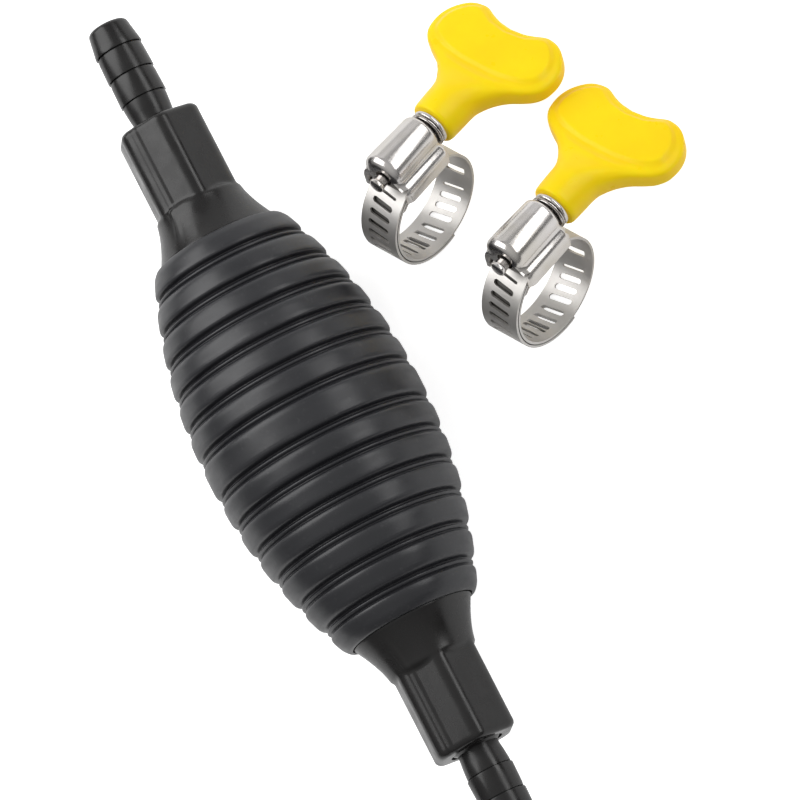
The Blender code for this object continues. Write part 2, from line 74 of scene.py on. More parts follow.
# ------------------------------------------------------------------ pump, as in the CAD model
BULB_TAPER = 6.8 * MM
BULB_TAPER_AT = 36.0 * MM
BULB_TAPER_POWER = 2.1
RIB_PITCH = 6.15 * MM
FIRST_GROOVE = 3.925 * MM
GROOVES = [FIRST_GROOVE + RIB_PITCH * i for i in range(6)]
LIP_ROUNDING = 1.6 * MM
MOUTH_RADIUS = 12.3 * MM
MOUTH_LENGTH = 5.8 * MM
CHAMBER_RADIUS = 18.2 * MM
SPIGOT_RADIUS = 12.0 * MM
RIDGE_RADIUS = 13.4 * MM
CAP_START = 28.3 * MM
FLARE_START = 40.0 * MM
FLARE_LENGTH = 8.6 * MM
FLARE_END = FLARE_START + FLARE_LENGTH
FLARE_END_RADIUS = 8.7 * MM
COLLAR_END = 66.0 * MM
COLLAR_HALF_FLATS = 7.85 * MM
COLLAR_ROUNDING = 1.3 * MM
CARTRIDGE_BORE = 7.5 * MM
VALVE_POCKET = 18.0 * MM
PORT_RADIUS = 3.6 * MM
SOCKET_RADIUS = 5.2 * MM
SOCKET_DEPTH = 12.7 * MM
BARB_BORE = 2.4 * MM
BARB_PITCH = 5.2 * MM
BARB_COUNT = 3
FIRST_BARB = 71.5 * MM
SPRING_RADIUS = 2.9 * MM
SPRING_WIRE = 0.3 * MM
SPRING_TURNS = 4

# ------------------------------------------------------------------ clamps, as in the CAD model
SLOT_ANGLE = math.tau / 31
BAND_WIDTH = 8.3 * MM
BAND_THICKNESS = 0.5 * MM
TAIL_RADIUS = 11.65 * MM
LOOP_RADIUS = 10.95 * MM
RING_TOP = UPRIGHT
LOOP_START = math.radians(75)
LOOP_CELLS = 27
TAIL_CELLS = 19
TAIL_TIP = RING_TOP - 2.5 * SLOT_ANGLE
SLOT_LENGTH = 4.8 * MM
SLOT_WIDTH = 1.15 * MM
SADDLE_OUTER = 10.2 * MM
SADDLE_INNER = 9.75 * MM
SCREW_HEIGHT = 13.75 * MM
WORM_RADIUS = 2.5 * MM
WORM_CORE = 1.8 * MM
DRIVE_HALF = 1.5 * MM
DRIVE_END = 15.7 * MM
DRIVE_SOCKET_HALF = 1.8 * MM
DRIVE_SOCKET_END = 16.0 * MM
HOUSING_HALF = 6.0 * MM
HOUSING_WALL = 0.65 * MM
SKIRT_HALF = 5.15 * MM
DOME_RADIUS = 3.95 * MM
DOME_OFFSET = 0.55 * MM
THREAD_PITCH = SLOT_ANGLE * TAIL_RADIUS


# ------------------------------------------------------------------ small helpers
def ramp(value, start, end):
    """0 at start, 1 at end, smooth between, held outside; start may be above end."""
    t = min(1.0, max(0.0, (value - start) / (end - start)))
    return t * t * (3 - 2 * t)


def smooth_max(a, b, width):
    """The larger of two values, blended where they differ by less than the width."""
    near = max(width - abs(a - b), 0.0) / width
    return max(a, b) + near * near * width / 4


def spline(points, x):
    """A smooth curve through (x, value) points, level beyond both ends."""
    if x <= points[0][0]:
        return points[0][1]
    if x >= points[-1][0]:
        return points[-1][1]
    last = len(points) - 1
    i = max(k for k in range(last) if points[k][0] <= x)
    slopes = []
    for k in (i, i + 1):
        before, after = points[max(k - 1, 0)], points[min(k + 1, last)]
        slopes.append((after[1] - before[1]) / (after[0] - before[0]))
    width = points[i + 1][0] - points[i][0]
    t = (x - points[i][0]) / width
    a = (1 + 2 * t) * (1 - t) ** 2 * points[i][1] + t * t * (3 - 2 * t) * points[i + 1][1]
    return a + width * (t * (1 - t) ** 2 * slopes[0] + t * t * (t - 1) * slopes[1])


def to_mesh(bm, name):
    """Turn the faces outward and store them as a mesh."""
    bmesh.ops.recalc_face_normals(bm, faces=bm.faces)
    mesh = bpy.data.meshes.new(name)
    bm.to_mesh(mesh)
    bm.free()
    return mesh


def bridge(bm, one, other):
    """Quads between two equal rings of vertices."""
    for i in range(len(one)):
        j = (i + 1) % len(one)
        bm.faces.new((one[i], one[j], other[j], other[i]))


def cap(bm, ring, strips):
    """Close a ring with one face, or with quads between its two mirrored halves."""
    if not strips:
        bm.faces.new(ring)
        return
    half = len(ring) // 2
    for i in range(1, half - 1):
        bm.faces.new((ring[i], ring[i + 1], ring[-i - 1], ring[-i]))
    bm.faces.new((ring[0], ring[1], ring[-1]))
    bm.faces.new((ring[half - 1], ring[half], ring[half + 1]))


def skin(name, points, closed, strips=False):
    """Join equal rings of points, and the last with the first if closed; else cap both ends.

    Strips is for a hollowed outline, which one flat face would not follow."""
    bm = bmesh.new()
    rings = [[bm.verts.new(point) for point in ring] for ring in points]
    for lower, upper in zip(rings, rings[1:]):
        bridge(bm, lower, upper)
    if closed:
        bridge(bm, rings[-1], rings[0])
    else:
        cap(bm, rings[0], strips)
        cap(bm, rings[-1], strips)
    return to_mesh(bm, name)


def turned(name, profile, steps, shape=None, closed=True):
    """Turn (height, radius) points round z; shape(height, radius, angle) may change a radius."""
    angles = [math.tau * i / steps for i in range(steps)]
    rings = []
    for height, radius in profile:
        radii = [shape(height, radius, a) if shape else radius for a in angles]
        rings.append([Vector((r * math.cos(a), r * math.sin(a), height)) for a, r in zip(angles, radii)])
    return skin(name, rings, closed)


def arc(centre, radius, start, end, steps):
    """Points of an arc in a (height, radius) plane, angles in degrees."""
    points = []
    for i in range(steps + 1):
        a = math.radians(start + (end - start) * i / steps)
        points.append((centre[0] + radius * math.cos(a), centre[1] + radius * math.sin(a)))
    return points


def lay_uv(mesh, mapping):
    """Give every corner of a mesh the UV that mapping(point) returns."""
    layer = mesh.uv_layers.new(name="strip")
    for loop in mesh.loops:
        layer.data[loop.index].uv = mapping(mesh.vertices[loop.vertex_index].co)


def add(name, mesh, finish, place, body, nodes):
    """Link a mesh, shade it, and let it ride on a body in place of CAD nodes."""
    mesh.materials.append(finish)
    mesh.shade_smooth()
    mesh.set_sharp_from_angle(angle=math.radians(35))
    piece = bpy.data.objects.new(name, mesh)
    bpy.context.scene.collection.objects.link(piece)
    piece.matrix_world = place
    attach(piece, body)
    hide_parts(*nodes)
    return piece


def bevel(piece, width):
    """Round the sharp edges of a finished piece."""
    modifier = piece.modifiers.new("soft_edges", "BEVEL")
    modifier.width = width
    modifier.segments = 2
    modifier.limit_method = "ANGLE"
    modifier.angle_limit = math.radians(50)
    modifier.harden_normals = True


def cut_with(mesh, cutters):
    """A mesh less its cutters."""
    target = bpy.data.objects.new("target", mesh)
    bpy.context.scene.collection.objects.link(target)
    others = []
    for cutter in cutters:
        other = bpy.data.objects.new("cutter", cutter)
        bpy.context.scene.collection.objects.link(other)
        others.append(other)
        modifier = target.modifiers.new("cut", "BOOLEAN")
        modifier.operation = "DIFFERENCE"
        modifier.solver = "EXACT"
        modifier.object = other
    graph = bpy.context.evaluated_depsgraph_get()
    result = bpy.data.meshes.new_from_object(target.evaluated_get(graph))
    for leftover in [target] + others:
        bpy.data.objects.remove(leftover)
    return result


# ------------------------------------------------------------------ materials
class Finish:
    """A Principled material with noise-driven colour, roughness and bump."""

    def __init__(self, name, roughness, metallic=0.0):
        self.material = bpy.data.materials.new(name)
        self.material.use_nodes = True
        self.tree = self.material.node_tree
        self.shader = self.tree.nodes["Principled BSDF"]
        self.shader.inputs["Metallic"].default_value = metallic
        self.shader.inputs["Roughness"].default_value = roughness
        self.heights = []

    def node(self, kind, **inputs):
        """A new node with some of its inputs set."""
        made = self.tree.nodes.new(kind)
        for key, value in inputs.items():
            made.inputs[key].default_value = value
        return made

    def link(self, out_socket, in_socket):
        self.tree.links.new(out_socket, in_socket)

    def noise(self, scale, stretch=(1, 1, 1), detail=3.0, source="Object"):
        """Noise over the surface; stretch scales each axis before the noise."""
        coords = self.node("ShaderNodeTexCoord")
        mapping = self.node("ShaderNodeMapping", Scale=stretch)
        texture = self.node("ShaderNodeTexNoise", Scale=scale, Detail=detail)
        self.link(coords.outputs[source], mapping.inputs["Vector"])
        self.link(mapping.outputs["Vector"], texture.inputs["Vector"])
        return texture.outputs["Fac"]

    def spread(self, value, low, high, start=0.3, end=0.7):
        """Stretch a value's range from start to end over low to high."""
        ranged = self.node("ShaderNodeMapRange")
        for key, number in (("From Min", start), ("From Max", end), ("To Min", low), ("To Max", high)):
            ranged.inputs[key].default_value = number
        self.link(value, ranged.inputs["Value"])
        return ranged.outputs["Result"]

    def mixed(self, value, first, second):
        """A blend of two colours, each a tuple or a socket."""
        mix = self.node("ShaderNodeMix")
        mix.data_type = "RGBA"
        for socket, colour in zip((mix.inputs[6], mix.inputs[7]), (first, second)):
            if isinstance(colour, tuple):
                socket.default_value = (*colour, 1.0)
            else:
                self.link(colour, socket)
        self.link(value, mix.inputs[0])
        return mix.outputs[2]

    def cloudy(self, scale, first, second):
        """A colour that drifts between two."""
        return self.mixed(self.spread(self.noise(scale), 0, 1), first, second)

    def colour(self, source):
        self.link(source, self.shader.inputs["Base Color"])

    def roughness(self, source):
        self.link(source, self.shader.inputs["Roughness"])

    def bump(self, height, distance, strength=1.0):
        """Add a bump on top of those already there."""
        made = self.node("ShaderNodeBump", Strength=strength, Distance=distance)
        self.link(height, made.inputs["Height"])
        if self.heights:
            self.link(self.heights[-1], made.inputs["Normal"])
        self.heights.append(made.outputs["Normal"])
        self.link(self.heights[-1], self.shader.inputs["Normal"])


def bulb_rubber():
    """Dark grey moulded rubber: cloudy bloom, pale specks, fine grain."""
    made = Finish("bulb_rubber", 0.4)
    speck = made.spread(made.noise(900, detail=2), 0, 1, 0.62, 0.8)
    base = made.cloudy(60, (0.013, 0.0135, 0.0165), (0.019, 0.0193, 0.0225))
    made.colour(made.mixed(speck, base, (0.03, 0.03, 0.033)))
    made.roughness(made.spread(made.noise(150, stretch=(1, 1, 4)), 0.3, 0.42))
    made.bump(made.noise(1400, detail=2), 0.00001, 0.5)
    made.bump(made.noise(120), 0.00012, 0.5)
    made.shader.inputs["Specular IOR Level"].default_value = 0.55
    return made.material


def fitting_plastic():
    """Near-black hard plastic with flow marks along the axis and a soft skin texture."""
    made = Finish("fitting_plastic", 0.25)
    flow = made.spread(made.noise(140, stretch=(1, 1, 0.25)), 0, 1)
    base = made.mixed(flow, (0.0035, 0.003, 0.003), (0.0065, 0.0056, 0.0054))
    scuff = made.spread(made.noise(700, stretch=(1, 1, 0.2), detail=4), 0, 1, 0.66, 0.82)
    made.colour(made.mixed(scuff, base, (0.02, 0.0185, 0.018)))
    made.roughness(made.spread(made.noise(260), 0.2, 0.34))
    made.bump(made.noise(800), 0.00001, 0.4)
    made.bump(made.noise(90, stretch=(1, 1, 0.4)), 0.00015, 0.4)
    return made.material


def seal_rubber():
    """Soft black rubber, matt and grainy."""
    made = Finish("seal_rubber", 0.6)
    made.colour(made.cloudy(400, (0.008, 0.008, 0.008), (0.018, 0.018, 0.018)))
    made.roughness(made.spread(made.noise(900), 0.5, 0.75))
    made.bump(made.noise(1500), 0.00001, 0.5)
    return made.material


def valve_plastic():
    """Milky plastic of the valve poppets."""
    made = Finish("valve_plastic", 0.4)
    made.colour(made.cloudy(200, (0.56, 0.56, 0.53), (0.68, 0.68, 0.65)))
    made.roughness(made.spread(made.noise(700), 0.33, 0.5))
    made.bump(made.noise(1100), 0.00001, 0.4)
    made.shader.inputs["Subsurface Weight"].default_value = 0.1
    made.shader.inputs["Subsurface Scale"].default_value = 0.001
    return made.material


def spring_steel():
    """Drawn wire, dull in patches."""
    made = Finish("spring_steel", 0.25, 1.0)
    made.colour(made.cloudy(900, (0.42, 0.41, 0.4), (0.62, 0.61, 0.6)))
    made.roughness(made.spread(made.noise(1600), 0.18, 0.36))
    made.bump(made.noise(2500), 0.000005, 0.4)
    return made.material


def clamp_steel():
    """Polished stainless sheet: draw lines along the screw, read from its UV map."""
    made = Finish("clamp_steel", 0.2, 1.0)
    tint = made.spread(made.noise(160), 0, 1, 0.4, 0.75)
    made.colour(made.mixed(tint, (0.66, 0.635, 0.62), (0.58, 0.55, 0.5)))
    lines = made.noise(1.0, stretch=(90, 1100, 1), detail=4, source="UV")
    made.roughness(made.spread(lines, 0.15, 0.26))
    made.bump(lines, 0.000006, 0.3)
    made.bump(made.noise(220), 0.00008, 0.3)
    return made.material


def strip_steel(name, bright, dull):
    """Rolled stainless strip: satin grain along the strip, read from its UV map."""
    made = Finish(name, 0.3, 0.75)
    grain = made.noise(1.0, stretch=(300, 9000, 1), detail=4, source="UV")
    made.colour(made.cloudy(110, bright, dull))
    made.roughness(made.spread(grain, 0.34, 0.5))
    made.bump(grain, 0.000005, 0.4)
    made.bump(made.noise(150), 0.00005, 0.4)
    return made.material


def key_plastic():
    """Bright yellow plastic: cloudy, with painted shade that turns it deeper orange where seen edge-on,
    soft gloss, faint orange peel.
    """
    made = Finish("key_plastic", 0.32)
    # painted shade: the colour turns deeper orange where the surface is seen edge-on
    edge = made.node("ShaderNodeLayerWeight", Blend=0.35).outputs["Facing"]
    body = made.cloudy(90, (0.94, 0.66, 0.001), (0.97, 0.72, 0.002))
    made.colour(made.mixed(made.spread(edge, 0, 1, 0.15, 0.85), body, (0.99, 0.58, 0.001)))
    made.roughness(made.spread(made.noise(420), 0.27, 0.4))
    made.bump(made.noise(700), 0.000012, 0.4)
    made.bump(made.noise(110), 0.0001, 0.35)
    made.shader.inputs["Subsurface Weight"].default_value = 0.4
    made.shader.inputs["Subsurface Radius"].default_value = (1.0, 0.5, 0.1)
    made.shader.inputs["Subsurface Scale"].default_value = 0.004
    made.shader.inputs["Specular IOR Level"].default_value = 0.2
    return made.material


def backdrop():
    """Matt white paper that glows for the camera, and only faintly for the pieces on it."""
    made = Finish("backdrop", 0.9)
    made.colour(made.cloudy(30, (0.9, 0.9, 0.9), (0.92, 0.92, 0.92)))
    made.bump(made.noise(800), 0.00001, 0.2)
    made.shader.inputs["Emission Color"].default_value = (1.0, 1.0, 1.0, 1.0)
    path = made.node("ShaderNodeLightPath")
    glow = made.spread(path.outputs["Is Camera Ray"], 0.16, 0.75, 0.0, 1.0)
    made.link(glow, made.shader.inputs["Emission Strength"])
    return made.material


# ------------------------------------------------------------------ pump
def pump_place(outward):
    """Local z runs out of one end of the pump; local y or -y points up."""
    turn = Matrix.Rotation(-UPRIGHT * outward, 4, "X")
    return Matrix.Translation(PUMP_MIDDLE) @ turn


# Depth of a groove, in millimetres, at distances from its middle towards the inlet.
GROOVE_SHAPE = [
    (-1.7, 0.0), (-1.15, 0.1), (-0.8, 0.38), (-0.58, 0.85), (-0.42, 1.25), (-0.2, 1.28), (-0.04, 0.95),
    (0.12, 0.6), (0.4, 0.46), (0.66, 0.6), (0.84, 0.88), (1.0, 0.84), (1.16, 0.5), (1.5, 0.2), (2.1, 0.0),
]


def barrel_radius(y):
    """Outer radius of the bulb at a distance y from its middle towards the outlet."""
    radius = BULB_RADIUS - BULB_TAPER * (abs(y) / BULB_TAPER_AT) ** BULB_TAPER_POWER
    for groove in GROOVES:
        for side in (-1, 1):
            radius -= spline(GROOVE_SHAPE, (side * groove - y) / MM) * MM
    from_end = (BULB_HALF - abs(y)) / LIP_ROUNDING
    if from_end < 1:
        lip = MOUTH_RADIUS + 0.5 * MM
        radius = lip + (radius - lip) * math.sqrt(max(0.0, 1 - (1 - from_end) ** 2))
    return radius


def bulb_mesh():
    """Ribbed barrel with a plain mouth at each end and a chamber that widens to the middle."""
    fine, coarse = 0.09 * MM, 0.4 * MM
    stations = []
    y = -BULB_HALF
    while y < BULB_HALF:
        stations.append(y)
        near_groove = min(abs(abs(y) - groove) for groove in GROOVES) < 2.2 * MM
        near_end = BULB_HALF - abs(y) < LIP_ROUNDING + 0.1 * MM
        y += fine if near_groove or near_end else coarse
    stations.append(BULB_HALF)
    outer = [(y, barrel_radius(y)) for y in stations]
    shoulder = BULB_HALF - MOUTH_LENGTH
    inner = [(BULB_HALF, MOUTH_RADIUS), (shoulder, MOUTH_RADIUS)]
    inner.append((shoulder - 0.4 * MM, RIDGE_RADIUS + 0.5 * MM))
    for along, share in ((0.62, 0.86), (0.45, 0.94), (0.3, 0.98)):
        inner.append((BULB_HALF * along, CHAMBER_RADIUS * share))
    inner += [(-y, r) for y, r in reversed(inner)]
    return turned("bulb_skin", outer + inner, 144)


def collar_radius(angle):
    """Hexagon with softly rounded corners; flats face up and down."""
    sector = math.radians(60)
    off = (angle + sector / 2) % sector - sector / 2
    one = COLLAR_HALF_FLATS / math.cos(sector / 2 - abs(off))
    other = COLLAR_HALF_FLATS / math.cos(sector / 2 + abs(off))
    return -smooth_max(-one, -other, 1.8 * MM)


def flare_radius(u):
    """Curves in from the bulb's mouth to the collar, and sinks below the collar's flats."""
    t = min(1.0, max(0.0, (u - FLARE_START) / FLARE_LENGTH))
    radius = FLARE_END_RADIUS + (SPIGOT_RADIUS - FLARE_END_RADIUS) * (1 - t) ** 1.5
    return radius - 1.6 * MM * ramp(u, FLARE_END - 0.6 * MM, FLARE_END + 1.4 * MM)


def parting_line(u, angle, upright):
    """A raised strip where the mould's halves met, a little off the middle of two opposite flats."""
    height, half_width = 0.13 * MM, 0.6 * MM
    lift = 0.0
    for side in (1, -1):
        middle = math.radians(103) * side * upright
        off = (angle - middle + math.pi) % math.tau - math.pi
        across = abs(off) * 8.5 * MM
        lift = max(lift, ramp(across, half_width + 0.12 * MM, half_width - 0.1 * MM))
    return height * lift * ramp(u, FLARE_START + 1 * MM, FLARE_START + 5 * MM)


def end_cap_mesh(upright):
    """Ridge and spigot in the bulb's mouth, flare, hexagonal collar with a rounded end, bore."""
    outside = [(CAP_START, SPIGOT_RADIUS - 0.8 * MM), (CAP_START + 2.2 * MM, SPIGOT_RADIUS)]
    outside += [(CAP_START + 2.3 * MM, RIDGE_RADIUS), (CAP_START + 4.6 * MM, RIDGE_RADIUS)]
    outside += [(CAP_START + 5.1 * MM, SPIGOT_RADIUS), (FLARE_START - 0.1 * MM, SPIGOT_RADIUS)]
    steps = 70
    rounding_start = COLLAR_END - COLLAR_ROUNDING
    reach = rounding_start - FLARE_START
    for i in range(steps + 1):
        outside.append((FLARE_START + reach * i / steps, 0.0))
    for i in range(1, 9):
        a = UPRIGHT * i / 8
        less = COLLAR_ROUNDING * (1 - math.cos(a))
        outside.append((rounding_start + COLLAR_ROUNDING * math.sin(a), -less))
    floor = COLLAR_END - SOCKET_DEPTH
    stop = CAP_START + VALVE_POCKET
    bore = [(COLLAR_END, SOCKET_RADIUS), (floor, SOCKET_RADIUS), (floor, PORT_RADIUS)]
    bore += [(stop, PORT_RADIUS), (stop, CARTRIDGE_BORE), (CAP_START, CARTRIDGE_BORE)]

    def shape(u, radius, angle):
        """A radius of zero or less is counted from the flare and collar."""
        if radius > 0:
            return radius
        body = smooth_max(flare_radius(u), collar_radius(angle), 0.35 * MM)
        return body + radius + parting_line(u, angle, upright)

    return turned("end_cap", outside + bore, 180, shape)


def hose_barb_mesh():
    """Shank in the socket, then shallow barbs with a fine groove before each, to a rounded tip."""
    start = COLLAR_END - SOCKET_DEPTH + 2.0 * MM
    shank = SOCKET_RADIUS - 0.3 * MM
    groove_radius = 4.12 * MM
    neck_end = 4.4 * MM
    profile = [(start, shank), (COLLAR_END - 0.35 * MM, shank), (COLLAR_END + 0.1 * MM, 4.3 * MM)]
    for from_collar, radius in ((0.3, 4.05), (1.2, 4.08), (2.6, 4.25)):
        profile.append((COLLAR_END + from_collar * MM, radius * MM))
    profile.append((COLLAR_END + 4.4 * MM, neck_end))
    for i in range(BARB_COUNT):
        groove = FIRST_BARB + BARB_PITCH * i - 0.4 * MM
        crest = (4.63 + 0.05 * i) * MM
        behind = (4.42 + 0.02 * i) * MM
        profile += [(groove - 0.12 * MM, behind if i else neck_end), (groove - 0.04 * MM, groove_radius)]
        profile += [(groove + 0.1 * MM, groove_radius), (groove + 0.16 * MM, crest - 0.03 * MM)]
        profile += [(groove + 0.4 * MM, crest), (groove + BARB_PITCH - 0.9 * MM, behind + 0.12 * MM)]
    profile = profile[:-1] + [(TIP - 4.0 * MM, 4.55 * MM), (TIP - 2.4 * MM, 4.28 * MM)]
    profile += arc((TIP - 1.1 * MM, 2.95 * MM), 1.1 * MM, 80, 0, 8)
    profile += [(TIP, BARB_BORE + 0.35 * MM), (TIP - 0.35 * MM, BARB_BORE), (start, BARB_BORE)]
    return turned("hose_barb", profile, 128)


def coil_mesh(length):
    """Valve spring of fine round wire."""
    steps = 40 * SPRING_TURNS
    along = Vector((0, 0, 1))
    rings = []
    for i in range(steps + 1):
        angle = math.tau * SPRING_TURNS * i / steps
        outward = Vector((math.cos(angle), math.sin(angle), 0))
        centre = outward * SPRING_RADIUS + along * (length * i / steps)
        ring = []
        for k in range(12):
            turn = math.tau * k / 12
            ring.append(centre + SPRING_WIRE * (math.cos(turn) * outward + math.sin(turn) * along))
        rings.append(ring)
    return skin("valve_spring", rings, False)


HIDDEN_LOOKS = {
    "seal_ring": "seal_rubber",
    "valve_seat": "fitting",
    "valve_cage": "fitting",
    "valve_poppet": "valve_plastic",
}


def build_bulb(finishes):
    """The ribbed bulb, riding on the pump."""
    rubber = finishes["bulb_rubber"]
    bulb = add("bulb_skin", bulb_mesh(), rubber, pump_place(1), "pump", ["bulb"])
    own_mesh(bulb)


def build_spring(end, body, finishes):
    """The valve spring of one end, riding on that end's body."""
    low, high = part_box(end + "_valve_spring")
    space = high.y - low.y
    place = Matrix.Translation((PUMP_MIDDLE.x, low.y + SPRING_WIRE, PUMP_MIDDLE.z))
    place = place @ Matrix.Rotation(-UPRIGHT, 4, "X")
    spring = add(end + "_spring", coil_mesh(space - 2 * SPRING_WIRE), finishes["spring_steel"], place,
                 body, [end + "_valve_spring"])
    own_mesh(spring)


def build_end(end, outward, finishes):
    """End cap, barb and spring of one end; its hidden CAD pieces get their looks."""
    body = "pump" if end == "inlet" else "outlet_end"
    place = pump_place(outward)
    fitting = finishes["fitting"]
    add(end + "_cap_shell", end_cap_mesh(-outward), fitting, place, body, [end + "_end_cap"])
    add(end + "_barb", hose_barb_mesh(), fitting, place, body, [end + "_hose_barb"])
    build_spring(end, body, finishes)
    for part, look in HIDDEN_LOOKS.items():
        materials = frame["nodes"][f"{end}_{part}"].data.materials
        materials.clear()
        materials.append(finishes[look])


def build_pump(finishes):
    """The bulb, then both ends."""
    build_bulb(finishes)
    for end, outward in ENDS.items():
        build_end(end, outward, finishes)


# ------------------------------------------------------------------ clamps
def clamp_place(name):
    """The clamp frame, read from the joints: the band turns about +y and the screw about -x."""
    feed, screw = JOINTS[name + "_band_feed"], JOINTS[name + "_screw_turn"]
    x = -Vector(screw["axis"]).normalized()
    y = Vector(feed["axis"]).normalized()
    place = Matrix((x, y, x.cross(y))).transposed().to_4x4()
    place.translation = Vector(feed["pos_m"])
    return place


def polar(angle, radius, y):
    """A point of the ring; angle 90 degrees is under the screw."""
    return Vector((radius * math.cos(angle), y, radius * math.sin(angle)))


LONG_STEPS = 12
END_STEPS = 8


class Hole:
    """A slot or window, moved along the strip by shift; its far end is wider by the share keyhole."""

    def __init__(self, width=SLOT_WIDTH, length=SLOT_LENGTH, round_ends=True, shift=0.0, keyhole=0.0):
        self.width = width
        self.length = length
        self.round_ends = round_ends
        self.shift = shift
        self.keyhole = keyhole


def hole_outline(hole):
    """Points round a hole from corner to corner: side, far end, side, near end."""
    radius = hole.width / 2 if hole.round_ends else 0.3 * MM
    straight = hole.length / 2 - radius
    points = []
    for i in range(LONG_STEPS):
        points.append((-hole.width / 2, -straight + 2 * straight * i / LONG_STEPS))
    for i in range(END_STEPS):
        a = math.pi - math.pi * i / END_STEPS
        bulge = math.sin(a) if hole.round_ends else min(1.0, 2.2 * math.sin(a))
        points.append((hole.width / 2 * math.cos(a), straight + radius * bulge))
    points += [(-x, -y) for x, y in points]
    widened = []
    for x, y in points:
        widened.append((x * (1 + hole.keyhole * ramp(y, hole.length / 5, hole.length / 3)), y))
    return widened


def cell_outline(cell):
    """A cell's edge as (cells along, metres across), point for point with its hole's outline."""
    half = BAND_WIDTH / 2
    across = [-half + BAND_WIDTH * i / LONG_STEPS for i in range(LONG_STEPS)]
    along = [i / END_STEPS for i in range(END_STEPS)]
    near = [(cell, y) for y in across]
    far = [(cell + s, half) for s in along]
    back = [(cell + 1, -y) for y in across]
    home = [(cell + 1 - s, -half) for s in along]
    return near + far + back + home


class Strip:
    """A bent strip, one cell for each slot; its slots lean with the thread."""

    def __init__(self, outer_radius, start, direction):
        self.outer_radius = outer_radius
        self.start = start
        self.direction = direction
        self.bm = bmesh.new()

    def vertex(self, s, y, radius):
        angle = self.start + self.direction * SLOT_ANGLE * s
        return self.bm.verts.new(polar(angle, radius, y))

    def hole_in_cell(self, cell, hole):
        lean = THREAD_PITCH / (math.tau * WORM_RADIUS)
        points = []
        for x, y in hole_outline(hole):
            along = x + hole.shift - self.direction * lean * y
            points.append((cell + 0.5 + along / (SLOT_ANGLE * self.outer_radius), y))
        return points

    def layer(self, radius, holes):
        """One face of the strip: its edge vertices by key, and each cell's rings of vertices."""
        edge_vertices, cells = {}, []
        for cell, hole in enumerate(holes):
            outline = cell_outline(cell)
            outer = []
            for s, y in outline:
                key = edge_key(s, y)
                if key not in edge_vertices:
                    edge_vertices[key] = self.vertex(s, y, radius)
                outer.append(edge_vertices[key])
            rings = [outer]
            if hole:
                inner = self.hole_in_cell(cell, hole)
                shares = (0.5, 1.0)
            else:
                inner = [(cell + 0.5, 0.0)] * len(outline)
                shares = (0.5,)
            for share in shares:
                ring = []
                for (s0, y0), (s1, y1) in zip(outline, inner):
                    ring.append(self.vertex(s0 + (s1 - s0) * share, y0 + (y1 - y0) * share, radius))
                rings.append(ring)
            for one, other in zip(rings, rings[1:]):
                bridge(self.bm, one, other)
            if not hole:
                self.bm.faces.new(rings[-1])
            cells.append(rings)
        return edge_vertices, cells


def edge_key(s, y):
    """A key that two neighbouring cells share for one point of their common edge."""
    return round(s * END_STEPS), round(y * 1e7)


def band_mesh(name, outer_radius, start, direction, holes):
    """A strip with thickness: both its faces, the walls of its holes, and its rim."""
    strip = Strip(outer_radius, start, direction)
    top_edges, top_cells = strip.layer(outer_radius, holes)
    low_edges, low_cells = strip.layer(outer_radius - BAND_THICKNESS, holes)
    for top, low, hole in zip(top_cells, low_cells, holes):
        if hole:
            bridge(strip.bm, top[-1], low[-1])
    half = BAND_WIDTH / 2
    count = len(holes)
    along = [i / END_STEPS for i in range(count * END_STEPS + 1)]
    across = [-half + BAND_WIDTH * i / LONG_STEPS for i in range(LONG_STEPS + 1)]
    sides = [[(s, y) for s in along] for y in (-half, half)]
    ends = [[(s, y) for y in across] for s in (0, count)]
    for side in sides + ends:
        keys = [edge_key(s, y) for s, y in side]
        for one, other in zip(keys, keys[1:]):
            strip.bm.faces.new((top_edges[one], top_edges[other], low_edges[other], low_edges[one]))
    mesh = to_mesh(strip.bm, name)
    lay_uv(mesh, lambda point: (math.atan2(point.z, point.x) * outer_radius, point.y))
    return mesh


def shade_covered_faces(mesh):
    """Put the second material, dark steel painted as shade between the layers, on the inner strip's outer
    face, where the outer strip lies over it.
    """
    covered_from, covered_to = math.radians(118), math.radians(282)
    for face in mesh.polygons:
        middle = face.center
        angle = math.atan2(middle.z, middle.x) % math.tau
        outside = math.hypot(middle.x, middle.z) > LOOP_RADIUS - BAND_THICKNESS / 4
        if outside and covered_from < angle < covered_to:
            face.material_index = 1


def loop_holes():
    """Plain under the housing, the anchoring window, a thin first slot, then full slots.

    Near the outer strip's end the slots line up with its slots.  Behind the rest of it they sit
    half a pitch off and grow narrow, so that no light passes."""
    window = Hole(1.6 * MM, 4.4 * MM, False, 0.25 * MM)
    thin = Hole(0.6 * MM)
    in_line = Hole(1.05 * MM, shift=0.5 * MM)
    off = Hole(0.9 * MM, shift=-0.6 * MM)
    narrow_off = Hole(0.45 * MM, shift=-0.65 * MM)
    holes = [None] * 7 + [window, None, thin] + [Hole()] * 3 + [in_line] * 3 + [off] * 2
    return holes + [narrow_off] * (LOOP_CELLS - len(holes))


def tail_holes():
    """Plain tip, then full slots; the one at the housing's edge is a thin keyhole."""
    holes = [None] + [Hole()] * (TAIL_CELLS - 1)
    holes[5] = Hole(0.55 * MM, shift=0.1 * MM, keyhole=0.9)
    return holes


def saddle_mesh():
    """Curved plate under the housing; its ends narrow to rounded tongues."""
    steps, across_steps = 48, 8
    tongue = 1.3 * MM
    rings = []
    for i in range(steps + 1):
        angle = math.radians(50) + UPRIGHT * i / steps
        from_end = min(i, steps - i) / steps * UPRIGHT * SADDLE_OUTER
        narrowed = tongue * (1 - math.sqrt(1 - (1 - min(1.0, from_end / tongue)) ** 2))
        half = BAND_WIDTH / 2 - narrowed
        across = [-half + 2 * half * k / across_steps for k in range(across_steps + 1)]
        ring = [polar(angle, SADDLE_OUTER, y) for y in across]
        ring += [polar(angle, SADDLE_INNER, -y) for y in across]
        rings.append(ring)
    return skin("saddle", rings, False)


